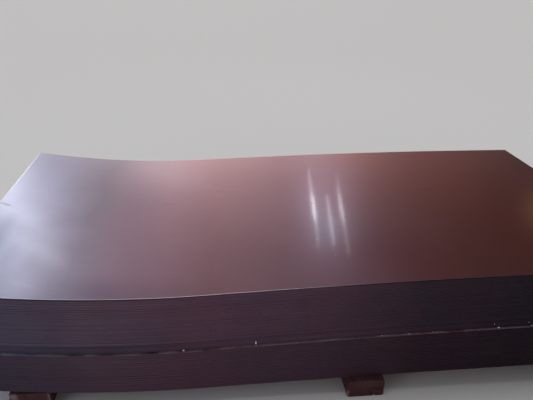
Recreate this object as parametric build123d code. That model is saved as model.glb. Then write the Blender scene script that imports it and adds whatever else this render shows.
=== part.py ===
"""Stack of flat steel sheets lying in three packs on timber bearers.

Every sheet is the same stock size. The sheets carry the set of the coil they
were cut from, so their left ends curl up, and they sag between the bearers.
The packs above follow one curve, and the lower pack flattens it towards the
bearers. Millimetres, +Z up, +X along the sheets, and the front long side of
the stack faces -Y. The origin is on the floor, under the middle of the stack.
"""

from build123d import *
import math
import os

# Sheets
SHEET_LENGTH = 2500.0
SHEET_WIDTH = 1250.0
SHEET_THICKNESS = 3.0
SHEET_GAP = 0.3  # air between two sheets where they lie closest
EDGE_SCATTER = 1.5  # how far a sheet lies out of line with its pack, either way

# Packs, from the floor up
LOWER_COUNT = 44
MIDDLE_COUNT = 11
UPPER_COUNT = 53  # below the top sheet, which is a node of its own
LOWER_FORWARD = 6.0  # the lower pack's front stands this far proud of the upper one's
MIDDLE_RECESS = 6.0  # and the middle pack's is this far behind it
LOWER_SLIDE = 5.0  # to the right, along the sheets
MIDDLE_SLIDE = -4.0

# Curve of the sheets, on the line through the middle of their thickness
TROUGH_RADIUS = 4000.0
UPPER_TROUGH = 640.0  # from the left end, along the sheet, to the lowest point
UPPER_RISE = 2.58  # degrees of slope where the trough turns over into the crest
BOTTOM_TROUGH = 700.0
BOTTOM_RISE = 1.55

# Bearers
BEARER_WIDTH = 135.0
BEARER_PROUD = 30.0  # beyond the sheets, at the front and at the back
LEFT_BEARER_FRONT = 8.0  # the left bearer reaches only this far beyond them at the front
BEARER_ARRIS = 5.0  # worn off the long edges
MIDDLE_BEARER_HEIGHT = 70.0  # the outer two are as high as the curve needs
LEFT_BEARER_INSET = 238.0  # from the sheets' left end to the bearer's middle
RIGHT_BEARER_INSET = 230.0  # and the same from their right end
MIDDLE_BEARER_X = 138.0  # to the right of the stack's middle
SEAT_CLEARANCE = 0.3

HALF_THICKNESS = SHEET_THICKNESS / 2
LEFT_BEARER_X = LEFT_BEARER_INSET - SHEET_LENGTH / 2
RIGHT_BEARER_X = SHEET_LENGTH / 2 - RIGHT_BEARER_INSET
SCATTER_STEP = 2.4  # radians from one sheet to the next, so that no row repeats
STATIONS = 24  # places along the stack where two curves are compared


class Sag:
    """Curve of one sheet: a trough arc, then a crest arc that ends level.

    flatness is 0 for the curve of the packs above and 1 for the bottom sheet's.
    A side is a distance above the middle line, and is negative below it.
    """

    def __init__(self, flatness, trough_z=0.0):
        trough = UPPER_TROUGH + flatness * (BOTTOM_TROUGH - UPPER_TROUGH)
        rise = UPPER_RISE + flatness * (BOTTOM_RISE - UPPER_RISE)
        self.flatness = flatness
        self.rise = rise
        self.curl = math.degrees(trough / TROUGH_RADIUS)
        past_trough = SHEET_LENGTH - TROUGH_RADIUS * math.radians(self.curl + rise)
        self.crest_radius = past_trough / math.radians(rise)
        self.trough_x = trough - SHEET_LENGTH / 2
        self.trough_z = trough_z

    def centres(self):
        """Centres of the trough arc and the crest arc, as (x, z)."""
        span = TROUGH_RADIUS + self.crest_radius
        slope = math.radians(self.rise)
        x, z = self.trough_x, self.trough_z + TROUGH_RADIUS
        return (x, z), (x + span * math.sin(slope), z - span * math.cos(slope))

    def height(self, x, side=0.0):
        """Height of the curve, or of the face that lies side above it, at x."""
        (trough_x, trough_z), (crest_x, crest_z) = self.centres()
        radius = TROUGH_RADIUS - side
        if x - trough_x <= radius * math.sin(math.radians(self.rise)):
            return trough_z - math.sqrt(radius**2 - (x - trough_x) ** 2)
        radius = self.crest_radius + side
        return crest_z + math.sqrt(radius**2 - (x - crest_x) ** 2)

    def arcs(self, side, slide):
        """Edges of one face of the sheet, slid along its own curve."""
        trough_centre, crest_centre = self.centres()
        curl = self.curl - math.degrees(slide / TROUGH_RADIUS)
        past_crest = math.degrees(slide / self.crest_radius)
        trough = CenterArc(
            trough_centre, TROUGH_RADIUS - side, 270 - curl, curl + self.rise
        )
        crest = CenterArc(
            crest_centre, self.crest_radius + side, 90 + self.rise, -self.rise - past_crest
        )
        return [trough, crest]

    def lowest(self, left, right, side):
        """Lowest point of a face between two places along the stack."""
        step = (right - left) / STATIONS
        return min(self.height(left + i * step, side) for i in range(STATIONS + 1))

    def laid_on(self, below):
        """The same curve, as low as it can lie on the sheet below."""
        left, step = -SHEET_LENGTH / 2, SHEET_LENGTH / STATIONS
        places = [left + i * step for i in range(STATIONS + 1)]
        rest = max(
            below.height(x, HALF_THICKNESS) - self.height(x, -HALF_THICKNESS)
            for x in places
        )
        return Sag(self.flatness, self.trough_z + rest + SHEET_GAP)


def sheet(sag, slide, shift):
    """One sheet: its section seen from the front, drawn out to its width."""
    under = sag.arcs(-HALF_THICKNESS, slide)
    over = sag.arcs(HALF_THICKNESS, slide)
    ends = [Line(under[0] @ 0, over[0] @ 0), Line(under[1] @ 1, over[1] @ 1)]
    section = Plane.XZ * make_face(under + over + ends)
    return Pos(0, shift, 0) * extrude(section, SHEET_WIDTH / 2, both=True)


def pack(sags, slide, shift):
    """Sheets laid on one another, each a little out of line with the next."""
    sheets = []
    for number, sag in enumerate(sags):
        turn = number * SCATTER_STEP
        off_x = slide + EDGE_SCATTER * math.cos(turn)
        off_y = shift + EDGE_SCATTER * math.sin(turn)
        sheets.append(sheet(sag, off_x, off_y))
    return Compound(children=sheets)


def bearer_top(centre_x, sag):
    """Height at which a bearer's flat top meets the sheet above it."""
    reach = BEARER_WIDTH / 2 - BEARER_ARRIS
    under = sag.lowest(centre_x - reach, centre_x + reach, -HALF_THICKNESS)
    return under - SEAT_CLEARANCE


def bearer(centre_x, height, front=BEARER_PROUD):
    """Sawn timber bearer that runs from front to back under the stack."""
    length = SHEET_WIDTH + front + BEARER_PROUD
    on_floor = (Align.CENTER, Align.CENTER, Align.MIN)
    block = Box(BEARER_WIDTH, length, height, align=on_floor)
    block = chamfer(block.edges().filter_by(Axis.Y), BEARER_ARRIS)
    return Pos(centre_x, (BEARER_PROUD - front) / 2, 0) * block


def bottom_sag():
    """Curve of the bottom sheet, which rests on the middle bearer."""
    sag = Sag(1.0)
    return Sag(1.0, MIDDLE_BEARER_HEIGHT - bearer_top(MIDDLE_BEARER_X, sag))


def stack_up():
    """Curve of every sheet, from the bottom one to the top one."""
    sags = [bottom_sag()]
    for number in range(1, LOWER_COUNT):
        flatness = 1 - number / (LOWER_COUNT - 1)
        sags.append(Sag(flatness).laid_on(sags[-1]))
    for _ in range(MIDDLE_COUNT + UPPER_COUNT + 1):
        sags.append(Sag(0.0).laid_on(sags[-1]))
    return sags


def build():
    """Every node of the stack, by name."""
    sags = stack_up()
    upper_from = LOWER_COUNT + MIDDLE_COUNT
    left_height = bearer_top(LEFT_BEARER_X, sags[0])
    return {
        "top_sheet": sheet(sags[-1], 0.0, 0.0),
        "upper_pack": pack(sags[upper_from:-1], 0.0, 0.0),
        "middle_pack": pack(sags[LOWER_COUNT:upper_from], MIDDLE_SLIDE, MIDDLE_RECESS),
        "lower_pack": pack(sags[:LOWER_COUNT], LOWER_SLIDE, -LOWER_FORWARD),
        "left_bearer": bearer(LEFT_BEARER_X, left_height, LEFT_BEARER_FRONT),
        "middle_bearer": bearer(MIDDLE_BEARER_X, MIDDLE_BEARER_HEIGHT),
        "right_bearer": bearer(RIGHT_BEARER_X, bearer_top(RIGHT_BEARER_X, sags[0])),
    }


os.makedirs("parts", exist_ok=True)
for name, shape in build().items():
    export_step(shape, f"parts/{name}.step")
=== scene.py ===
# %% [markdown]
# # A stack of steel sheets on timber bearers
#
# The real thing is about a hundred rolled steel sheets that lie in three packs on three pieces
# of timber. Nothing is fastened: the sheets lie on one another by their weight alone, they sag
# between the timbers, and their left ends still curl from the coil that they were cut from.
#
# In this lesson every sheet is one surface that is worked out with numpy, so the whole stack is
# a few array sums, and its finish is built from a handful of shader node groups.

# %% Load the measured model
import math

import bpy
import numpy as np
from mathutils import Matrix, Vector


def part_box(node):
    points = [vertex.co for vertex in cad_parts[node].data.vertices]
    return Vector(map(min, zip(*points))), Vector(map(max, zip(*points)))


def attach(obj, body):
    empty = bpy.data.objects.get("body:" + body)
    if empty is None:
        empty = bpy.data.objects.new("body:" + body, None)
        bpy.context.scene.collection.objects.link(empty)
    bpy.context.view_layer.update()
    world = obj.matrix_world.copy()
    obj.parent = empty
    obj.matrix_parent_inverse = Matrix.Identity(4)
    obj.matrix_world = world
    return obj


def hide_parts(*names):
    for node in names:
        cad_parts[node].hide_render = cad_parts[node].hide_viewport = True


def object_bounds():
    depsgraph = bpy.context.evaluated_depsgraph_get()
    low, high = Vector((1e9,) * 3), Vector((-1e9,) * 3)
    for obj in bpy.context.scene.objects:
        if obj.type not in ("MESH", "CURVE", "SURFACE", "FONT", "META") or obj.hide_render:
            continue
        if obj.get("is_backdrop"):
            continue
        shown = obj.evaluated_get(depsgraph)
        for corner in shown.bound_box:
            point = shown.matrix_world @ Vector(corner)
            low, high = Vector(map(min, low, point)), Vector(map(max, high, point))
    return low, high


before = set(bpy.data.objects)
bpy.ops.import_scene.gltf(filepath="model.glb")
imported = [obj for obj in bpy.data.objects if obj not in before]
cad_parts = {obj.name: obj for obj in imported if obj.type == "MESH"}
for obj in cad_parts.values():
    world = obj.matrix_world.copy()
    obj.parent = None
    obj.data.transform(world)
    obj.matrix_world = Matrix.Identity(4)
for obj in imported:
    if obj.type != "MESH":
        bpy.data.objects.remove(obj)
model_box = [list(corner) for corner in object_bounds()]
print("the model's box in metres:", model_box)

# %% [markdown]
# ## The camera
#
# The stack is seen by someone who stands at its front, left of its middle, and looks down on
# the top sheet. The three turns below say where the camera looks: yaw to the right, pitch
# down, and a slight roll. The camera's own axes come from them by plain vector sums, which is
# easier to follow than a chain of rotations. Everything in the scene, from the camera to the
# last crumb, is put there by one small helper.

# %% One helper for every object
def show(name, data, place=(0.0, 0.0, 0.0), axes=None):
    """A new object in the scene, at place, with its own x, y and z along the axes given."""
    made = bpy.data.objects.new(name, data)
    if axes is not None:
        made.matrix_world = Matrix.Translation(Vector(place)) @ Matrix(axes).transposed().to_4x4()
    bpy.context.scene.collection.objects.link(made)
    return made


# %% Camera
LENS = 36.31  # millimetres, on a sensor 36 mm wide
CAMERA_PLACE = (-0.4077, -2.0652, 1.4226)
YAW = math.radians(6.863)
PITCH = math.radians(24.403)
ROLL = math.radians(-1.741)

ahead = Vector(
    (math.sin(YAW) * math.cos(PITCH), math.cos(YAW) * math.cos(PITCH), -math.sin(PITCH))
)
level_right = Vector((math.cos(YAW), -math.sin(YAW), 0.0))
plumb_down = ahead.cross(level_right)
right = math.cos(ROLL) * level_right + math.sin(ROLL) * plumb_down
down = -math.sin(ROLL) * level_right + math.cos(ROLL) * plumb_down

camera = show("camera", bpy.data.cameras.new("camera"), CAMERA_PLACE, (right, -down, -ahead))
camera.data.lens = LENS
camera.data.sensor_width = 36.0
camera.data.clip_end = 200.0
bpy.context.scene.camera = camera
bpy.context.scene.view_settings.view_transform = "Standard"
print("camera at", CAMERA_PLACE)

# %% [markdown]
# ## Nodes without clutter
#
# Materials, the world and node groups are all node trees, so a few small helpers serve them
# all. `add` makes a node, sets its own options, and fills its inputs, each with a value or with
# the output of another node. The others make the few nodes that come back everywhere: sums,
# blended colours and colour ramps.

# %% Helpers for node trees
def fill(tree, node, into):
    """Fill a node's inputs, by name or by number, with values or with other nodes' outputs.

    A colour is given as red, green and blue, and it gets a 1 at its end, which means solid.
    """
    for name, value in into.items():
        socket = node.inputs[name]
        if isinstance(value, bpy.types.NodeSocket):
            tree.links.new(value, socket)
        elif socket.type == "RGBA":
            socket.default_value = (*value, 1.0)
        else:
            socket.default_value = value


def add(tree, kind, into=None, **options):
    """A new node of this kind, with its own options set and its inputs filled."""
    made = tree.nodes.new(kind)
    for name, value in options.items():
        setattr(made, name, value)
    fill(tree, made, into or {})
    return made


def sum_of(tree, operation, *values, clamp=False):
    """The output of a Math node that works on one, two or three values."""
    into = dict(enumerate(values))
    return add(tree, "ShaderNodeMath", into, operation=operation, use_clamp=clamp).outputs[0]


def blend(tree, amount, first, second, how="MIX"):
    """The colour that lies amount of the way from the first colour to the second."""
    into = {0: amount, 6: first, 7: second}
    made = add(tree, "ShaderNodeMix", into, data_type="RGBA", blend_type=how)
    return made.outputs[2]


def times(tree, first, second):
    """A colour multiplied by another colour, or by the number that a node puts out."""
    return blend(tree, 1.0, first, second, how="MULTIPLY")


def ramp(tree, amount, stops):
    """A colour ramp through stops, each a place from 0 to 1 and a colour."""
    made = add(tree, "ShaderNodeValToRGB", {0: amount})
    band = made.color_ramp.elements
    while len(band) < len(stops):
        band.new(0.5)
    for element, (place, colour) in zip(band, stops):
        element.position = place
        element.color = (*colour, 1.0)
    return made.outputs["Color"]


print("node helpers ready")

# %% [markdown]
# ## The studio
#
# Rolled steel is nearly a mirror, only blurred, so it shows its surroundings more than its own
# colour. The studio is therefore part of the finish. It has a pale floor that runs to the
# horizon and a plain sky, pale low down and dimmer higher up. Soft glows are laid over the sky
# behind the stack: broad warm ones for the middle of the sheet, a row of small cool ones that
# give the curled end its silvery sheen, two blue ones round the highlights, and amber at the
# far right. One part of the sky is darker, like a panel that takes light away, and the whole
# side round it is warmer, which makes the level end look brown. A picture of a real place
# could take the sky's part, but a glow made of numbers can be moved until its reflection lies
# where it belongs.
#
# A glow is the exponential of minus the square of the angle from its middle, so it has no edge
# that the steel could show. In an area lamp the edge is what is wanted: five slim ones behind
# the stack make the three highlights on the top sheet, two of them with a short bright middle.
# A soft high light and a fill at the front light all the rest.
#
# A lamp's level below is how bright its face looks, where 1 is white. The power that it needs
# is that level times pi, its width and its height.

# %% Floor
FLOOR_REACH = 90.0
FLOOR_COLOUR = (0.80, 0.79, 0.79)

corners = [(-1, -1), (1, -1), (1, 1), (-1, 1)]
floor_mesh = bpy.data.meshes.new("floor")
floor_mesh.from_pydata(
    [(FLOOR_REACH * x, FLOOR_REACH * y, 0.0) for x, y in corners], [], [(0, 1, 2, 3)]
)
show("floor", floor_mesh)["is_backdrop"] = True

floor_paint = bpy.data.materials.new("floor_paint")
floor_paint.use_nodes = True
tree = floor_paint.node_tree
paint = {"Base Color": FLOOR_COLOUR, "Roughness": 0.9, "Specular IOR Level": 0.2}
fill(tree, tree.nodes["Principled BSDF"], paint)
floor_mesh.materials.append(floor_paint)
print("floor", 2 * FLOOR_REACH, "m wide")

# %% The sky and what lies over it
SKY = (  # sine of the height above the horizon, then the level there
    (0.00, 0.86),
    (0.14, 0.72),
    (0.27, 0.44),
    (0.36, 0.32),
    (0.46, 0.25),
    (0.56, 0.10),
    (1.00, 0.22),
)
DARK_PANEL = (32, 28, 23, 0.88)  # azimuth, height, spread in degrees, and how much it takes
WARM_SIDE = (30, 25, 18, (1.0, 0.58, 0.58))  # the same three, and what multiplies the sky
PLAIN_SIDE = (1.0, 1.0, 1.0)
WARM_WHITE = (1.0, 1.0, 0.95)
PEACH = (1.0, 0.94, 0.87)
COOL_WHITE = (0.87, 0.94, 1.0)
SKY_BLUE = (0.24, 0.74, 1.0)
AMBER = (1.0, 0.9, 0.45)
GLOWS = (  # azimuth from straight behind the stack, height and spread, then level and colour
    (-30.0, 12.0, 8.0, 0.36, WARM_WHITE),
    (-20.0, 24.0, 6.0, 2.63, WARM_WHITE),
    (-2.0, 14.0, 7.0, 1.74, PEACH),
    (10.0, 12.0, 8.0, 1.44, PEACH),
    (24.0, 12.0, 10.0, 0.29, WARM_WHITE),
    (2.0, 24.0, 8.0, 0.32, WARM_WHITE),
    (-5.0, 21.0, 2.2, 0.80, COOL_WHITE),
    (-15.5, 33.0, 2.5, 0.94, COOL_WHITE),
    (-15.5, 24.0, 2.0, 4.20, COOL_WHITE),
    (-13.8, 21.0, 1.6, 0.70, COOL_WHITE),
    (-13.9, 24.0, 1.3, 3.85, COOL_WHITE),
    (-13.4, 26.3, 1.0, 3.40, COOL_WHITE),
    (-12.9, 28.6, 0.9, 3.10, COOL_WHITE),
    (-12.9, 31.0, 0.9, 3.50, COOL_WHITE),
    (-13.2, 34.0, 1.1, 0.60, COOL_WHITE),
    (10.6, 25.2, 2.0, 0.85, SKY_BLUE),
    (12.4, 28.0, 2.1, 1.75, SKY_BLUE),
    (36.4, 22.2, 1.8, 0.95, AMBER),
    (27.5, 20.5, 5.0, 0.08, AMBER),
)
print("sky with", len(GLOWS), "soft glows")

# %% World
world = bpy.data.worlds.new("plain_sky")
world.use_nodes = True
bpy.context.scene.world = world
tree = world.node_tree
toward = add(tree, "ShaderNodeTexCoord").outputs["Generated"]
height_above = add(tree, "ShaderNodeSeparateXYZ", {0: toward}).outputs["Z"]


def nearness(azimuth, height, spread):
    """How near a direction is to the given one: e to the power of -(angle / spread)^2.

    One minus the cosine of a small angle is half its square, so the dot product of the two
    directions, less one, times two over the spread squared, is the exponent.
    """
    a, h = math.radians(azimuth), math.radians(height)
    aimed = (math.sin(a) * math.cos(h), math.cos(a) * math.cos(h), math.sin(h))
    near = add(tree, "ShaderNodeVectorMath", {0: toward, 1: aimed}, operation="DOT_PRODUCT")
    off = sum_of(tree, "SUBTRACT", near.outputs["Value"], 1.0)
    power = sum_of(tree, "MULTIPLY", off, 2 / math.radians(spread) ** 2)
    return sum_of(tree, "EXPONENT", power)


*dark_at, taken = DARK_PANEL
kept = sum_of(tree, "MULTIPLY_ADD", nearness(*dark_at), -taken, 1.0)
sky_stops = [(sine, (level, level, level)) for sine, level in SKY]
sky = times(tree, ramp(tree, height_above, sky_stops), kept)
for azimuth, height, spread, level, colour in GLOWS:
    tint = tuple(level * part for part in colour)
    lit = times(tree, tint, nearness(azimuth, height, spread))
    sky = blend(tree, 1.0, sky, lit, how="ADD")
*warm_at, warm_colour = WARM_SIDE
sky = times(tree, sky, blend(tree, nearness(*warm_at), PLAIN_SIDE, warm_colour))
fill(tree, tree.nodes["Background"], {"Color": sky, "Strength": 1.0})
print("world of", len(tree.nodes), "nodes")

# %% Lamps
def lamp(name, place, aim, size, level, colour, shape="RECTANGLE", upright=(0, 0, 1)):
    """Flat lamp at place that faces aim, as bright as its level says."""
    light = bpy.data.lights.new(name, "AREA")
    light.shape = shape
    light.size, light.size_y = size
    light.energy = level * math.pi * size[0] * size[1]
    light.color = colour
    back = (Vector(place) - Vector(aim)).normalized()
    side = Vector(upright).cross(back).normalized()
    show(name, light, place, (side, back.cross(side), back)).visible_camera = False


lamp(
    "front_fill",
    place=(-3.0, -2.6, 1.5),
    aim=(-1.0, -0.6, 0.2),
    size=(1.6, 1.6),
    level=1.5,
    colour=(0.86, 0.90, 1.0),
)

high_light = bpy.data.lights.new("high_light", "SUN")
high_light.energy = 1.35
high_light.angle = math.radians(50)
overhead = show("high_light", high_light)
overhead.rotation_euler = (math.radians(-18), math.radians(-8), 0.0)

SLIM_COLOUR = (0.94, 0.92, 1.0)
SLIM_LAMPS = (  # foot and head as x and z in metres, width, level
    ((0.927, 2.35), (1.061, 3.56), 0.030, 3.9),
    ((0.966, 2.70), (1.014, 3.14), 0.048, 7.4),
    ((1.204, 2.76), (1.305, 3.56), 0.024, 8.0),
    ((1.346, 2.48), (1.555, 3.72), 0.020, 4.2),
    ((1.385, 2.71), (1.467, 3.20), 0.020, 9.5),
)
SLIM_DISTANCE = 5.0  # behind the middle of the stack
SHEET_MIDDLE = (0.0, -0.1, 0.45)
for number, (foot, head, width, level) in enumerate(SLIM_LAMPS, start=1):
    rise = Vector((head[0] - foot[0], 0.0, head[1] - foot[1]))
    place = ((foot[0] + head[0]) / 2, SLIM_DISTANCE, (foot[1] + head[1]) / 2)
    size = (width, rise.length)
    lamp(f"slim_lamp_{number}", place, SHEET_MIDDLE, size, level, SLIM_COLOUR, "ELLIPSE", rise)

# %% [markdown]
# ## The curve of a sheet
#
# Seen from the front, each sheet is a trough at the left, which is the set left by the coil,
# and then a long low crest that ends level. Both are parts of circles that meet smoothly, so
# the slope of the sheet grows evenly and then falls evenly. Working with the slope instead of
# the height keeps the sheet's length exact, however it is bent.
#
# The bottom sheet is flatter, because the timbers hold it up. Going up through the lower pack
# the curve changes from that one to the curve of all the sheets above.

# %% Sizes of the sheets, in metres and radians
SHEET_LENGTH = 2.5
SHEET_WIDTH = 1.25
THICK = 0.003
SHEET_GAP = 0.0003
SCATTER = 0.0015  # how far a sheet slides out of line with its pack, either way
SCATTER_STEP = 2.4  # radians from one sheet to the next
LOWER_COUNT = 44
MIDDLE_COUNT = 11
UPPER_COUNT = 53
TROUGH_RADIUS = 4.0
UPPER_TROUGH = 0.640  # from the left end to the lowest point
BOTTOM_TROUGH = 0.700
UPPER_RISE = math.radians(2.58)  # the steepest slope
BOTTOM_RISE = math.radians(1.55)
print("sheets in all:", LOWER_COUNT + MIDDLE_COUNT + UPPER_COUNT + 1)

# %% The curve as a function
def bend(flatness):
    """Where a sheet's trough starts and ends, its steepest slope, and its crest's radius.

    The trough's length and the steepest slope go in a straight line from the upper sheets'
    values to the bottom sheet's. The crest has the rest of the length, divided by that slope.
    """
    trough = UPPER_TROUGH + flatness * (BOTTOM_TROUGH - UPPER_TROUGH)
    rise = UPPER_RISE + flatness * (BOTTOM_RISE - UPPER_RISE)
    turn = trough + TROUGH_RADIUS * rise
    return trough, turn, rise, (SHEET_LENGTH - turn) / rise


def along_curve(s, flatness, trough_z, side):
    """The place (x, z) at the distance s along the sheet and side above its middle line.

    The slope is (s - trough) / R in the trough, and rise - (s - turn) / R' over the crest.
    Each place lies on its circle where the circle has that slope, so x is the centre's x plus
    or minus R sin(slope), z the centre's z minus or plus R cos(slope), and side moves it
    along the normal (-sin, cos).
    """
    trough, turn, rise, crest = bend(flatness)
    in_trough = s <= turn
    slope = np.where(in_trough, (s - trough) / TROUGH_RADIUS, rise - (s - turn) / crest)
    middle_x = trough - SHEET_LENGTH / 2
    middle_z = trough_z + TROUGH_RADIUS
    span = TROUGH_RADIUS + crest
    x = np.where(
        in_trough,
        middle_x + TROUGH_RADIUS * np.sin(slope),
        middle_x + span * np.sin(rise) - crest * np.sin(slope),
    )
    z = np.where(
        in_trough,
        middle_z - TROUGH_RADIUS * np.cos(slope),
        middle_z - span * np.cos(rise) + crest * np.cos(slope),
    )
    return x - side * np.sin(slope), z + side * np.cos(slope)


def face_height(x, flatness, side):
    """Height above the trough of a sheet's face at x: centre minus or plus the circle's rise.

    The trough's face has the radius R - side, the crest's has R' + side, and the height on a
    circle is the centre's height minus or plus the root of radius squared minus reach squared.
    """
    trough, turn, rise, crest = bend(flatness)
    span = TROUGH_RADIUS + crest
    from_trough = x - (trough - SHEET_LENGTH / 2)
    from_crest = from_trough - span * np.sin(rise)
    inner = TROUGH_RADIUS - side
    outer = crest + side
    in_trough = from_trough <= inner * np.sin(rise)
    low = TROUGH_RADIUS - np.sqrt(np.maximum(inner**2 - from_trough**2, 0.0))
    high = TROUGH_RADIUS - span * np.cos(rise) + np.sqrt(outer**2 - from_crest**2)
    return np.where(in_trough, low, high)


print("slope at the left end:", round(math.degrees(UPPER_TROUGH / TROUGH_RADIUS), 2), "degrees")

# %% [markdown]
# ## Laying the sheets on one another
#
# A sheet comes down until it first touches the one below. That is the largest difference
# between the lower sheet's top face and its own underside, taken at places along the stack.
# Each sheet's height is the sum of all those steps beneath it, so one running sum lays them
# all. The bottom sheet rests on the middle timber. A physics simulation could drop the sheets
# instead, but it would take long and never bring so many thin bodies quite to rest.

# %% Heights of all the sheets
MIDDLE_TIMBER_X = 0.138
MIDDLE_TIMBER_HEIGHT = 0.070
TIMBER_WIDTH = 0.135
TIMBER_ARRIS = 0.005
SEAT_GAP = 0.0003
STATIONS = 25  # places where two curves are compared

flatness = np.concatenate(
    [np.linspace(1.0, 0.0, LOWER_COUNT), np.zeros(MIDDLE_COUNT + UPPER_COUNT + 1)]
)
stations = np.linspace(-SHEET_LENGTH / 2, SHEET_LENGTH / 2, STATIONS)
tops = face_height(stations, flatness[:, None], THICK / 2)
undersides = face_height(stations, flatness[:, None], -THICK / 2)
steps = (tops[:-1] - undersides[1:]).max(axis=1) + SHEET_GAP

flat_top = TIMBER_WIDTH / 2 - TIMBER_ARRIS
on_timber = np.linspace(MIDDLE_TIMBER_X - flat_top, MIDDLE_TIMBER_X + flat_top, STATIONS)
lowest_there = face_height(on_timber, 1.0, -THICK / 2).min()
first = MIDDLE_TIMBER_HEIGHT + SEAT_GAP - lowest_there
trough_z = first + np.concatenate([[0.0], np.cumsum(steps)])

middle_from = LOWER_COUNT
upper_from = LOWER_COUNT + MIDDLE_COUNT
print(len(trough_z), "sheets, troughs", round(first, 3), "to", round(trough_z[-1], 3), "m up")

# %% [markdown]
# ## From arrays to a mesh
#
# A sheet is a closed tube: a small section with worn corners, carried along the curve, with a
# cap at each end. The faces of all the tubes of a pack follow from index arithmetic alone, and
# `foreach_set` hands whole arrays to Blender at once, which is far quicker than building faces
# one by one.

# %% Faces by arithmetic
def tube_faces(count, rings, around):
    """Corner numbers of the four-sided faces of count tubes of rings by around points."""
    start = np.arange(count)[:, None, None] * rings * around
    ring = np.arange(rings - 1)[None, :, None] * around
    here = np.arange(around)[None, None, :]
    a = start + ring + here
    b = start + ring + (here + 1) % around
    return np.stack([a, b, b + around, a + around], axis=-1).reshape(-1, 4)


def cap_faces(count, rings, around):
    """The two end caps of each tube: the first ring turned round, and the last as it is."""
    start = np.arange(count)[:, None] * rings * around
    first_ring = start + np.arange(around)[None, ::-1]
    last_ring = start + (rings - 1) * around + np.arange(around)[None, :]
    return np.concatenate([first_ring, last_ring])


def fan(first, around, hub):
    """Triangles from each side of a ring, whose corners start at first, to the hub."""
    here = np.arange(around)
    after = (here + 1) % around
    return np.stack([first + here, first + after, np.full(around, hub)], axis=-1)


print("two tubes of 3 rings by 4 points:", len(tube_faces(2, 3, 4)), "faces and 4 caps")

# %% A new piece
SHARP_ANGLE = math.radians(24)  # where two faces meet more steeply, the edge stays crisp


def new_piece(name, points, face_groups, materials, which=None, values=None):
    """An object at the origin from points (n, 3) and arrays of corner numbers.

    which gives each face's material number, and values holds one number a point by name.
    """
    mesh = bpy.data.meshes.new(name)
    corners = np.concatenate([group.ravel() for group in face_groups])
    sides = np.concatenate([np.full(len(group), group.shape[1]) for group in face_groups])
    mesh.vertices.add(len(points))
    mesh.vertices.foreach_set("co", np.ascontiguousarray(points, np.float32).ravel())
    mesh.loops.add(len(corners))
    mesh.loops.foreach_set("vertex_index", corners.astype(np.int32))
    mesh.polygons.add(len(sides))
    mesh.polygons.foreach_set("loop_start", (np.cumsum(sides) - sides).astype(np.int32))
    for material in materials:
        mesh.materials.append(material)
    if which is not None:
        mesh.polygons.foreach_set("material_index", which.astype(np.int32))
    mesh.update(calc_edges=True)
    for label, numbers in (values or {}).items():
        made = mesh.attributes.new(label, "FLOAT", "POINT")
        made.data.foreach_set("value", np.ascontiguousarray(numbers, np.float32).ravel())
    mesh.polygons.foreach_set("use_smooth", np.ones(len(sides), bool))
    mesh.set_sharp_from_angle(angle=SHARP_ANGLE)
    piece = show(name, mesh)
    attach(piece, "root")
    return piece


def triangles(piece):
    """How many triangles the piece's mesh has."""
    return sum(len(face.vertices) - 2 for face in piece.data.polygons)


print("edges are crisp above", round(math.degrees(SHARP_ANGLE)), "degrees")

# %% [markdown]
# ## Node groups for the finishes
#
# Three effects come back in several finishes: soft clouds of colour, fine lines that run one
# way, and patches with a ragged edge. Each is a node group with named inputs, made once. The
# groups read a place on the piece and put out only a number from 0 to 1, and each material
# decides what that number does.

# %% Helpers for node groups
def new_group(name, inputs, output):
    """An empty node group with number inputs, a Place input, and one number output."""
    group = bpy.data.node_groups.new(name, "ShaderNodeTree")
    face = group.interface
    face.new_socket("Place", in_out="INPUT", socket_type="NodeSocketVector")
    for label, value in inputs.items():
        made = face.new_socket(label, in_out="INPUT", socket_type="NodeSocketFloat")
        made.default_value = value
    face.new_socket(output, in_out="OUTPUT", socket_type="NodeSocketFloat")
    return group, group.nodes.new("NodeGroupInput"), group.nodes.new("NodeGroupOutput")


def noise_at(group, place, scale, detail, roughness):
    """Smooth noise at a place, mostly between 0.3 and 0.7. A larger scale makes it finer."""
    into = {"Vector": place, "Scale": scale, "Detail": detail, "Roughness": roughness}
    return add(group, "ShaderNodeTexNoise", into).outputs[0]


def spread_out(group, noise, contrast):
    """The noise less a half, times the contrast, plus a half, kept from 0 to 1."""
    off_middle = sum_of(group, "SUBTRACT", noise, 0.5)
    return sum_of(group, "MULTIPLY_ADD", off_middle, contrast, 0.5, clamp=True)


print("group helpers ready")

# %% Clouds: soft blotches of a given size
clouds, given, result = new_group("clouds", {"Size": 0.1, "Contrast": 1.0}, "Amount")
per_metre = sum_of(clouds, "DIVIDE", 1.0, given.outputs["Size"])
noise = noise_at(clouds, given.outputs["Place"], per_metre, 4.0, 0.55)
fill(clouds, result, {"Amount": spread_out(clouds, noise, given.outputs["Contrast"])})
print("clouds:", len(clouds.nodes), "nodes")

# %% Fine lines: noise with a different size along each axis
lines, given, result = new_group(
    "fine_lines", {"Along X": 0.3, "Along Y": 0.002, "Along Z": 0.002, "Contrast": 1.5}, "Amount"
)
parts = add(lines, "ShaderNodeSeparateXYZ", {0: given.outputs["Place"]}).outputs
squeezed = {
    axis: sum_of(lines, "DIVIDE", parts[axis], given.outputs[f"Along {axis}"]) for axis in "XYZ"
}
long_place = add(lines, "ShaderNodeCombineXYZ", squeezed).outputs[0]
noise = noise_at(lines, long_place, 1.0, 3.0, 0.6)
fill(lines, result, {"Amount": spread_out(lines, noise, given.outputs["Contrast"])})
print("fine lines:", len(lines.nodes), "nodes")

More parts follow.
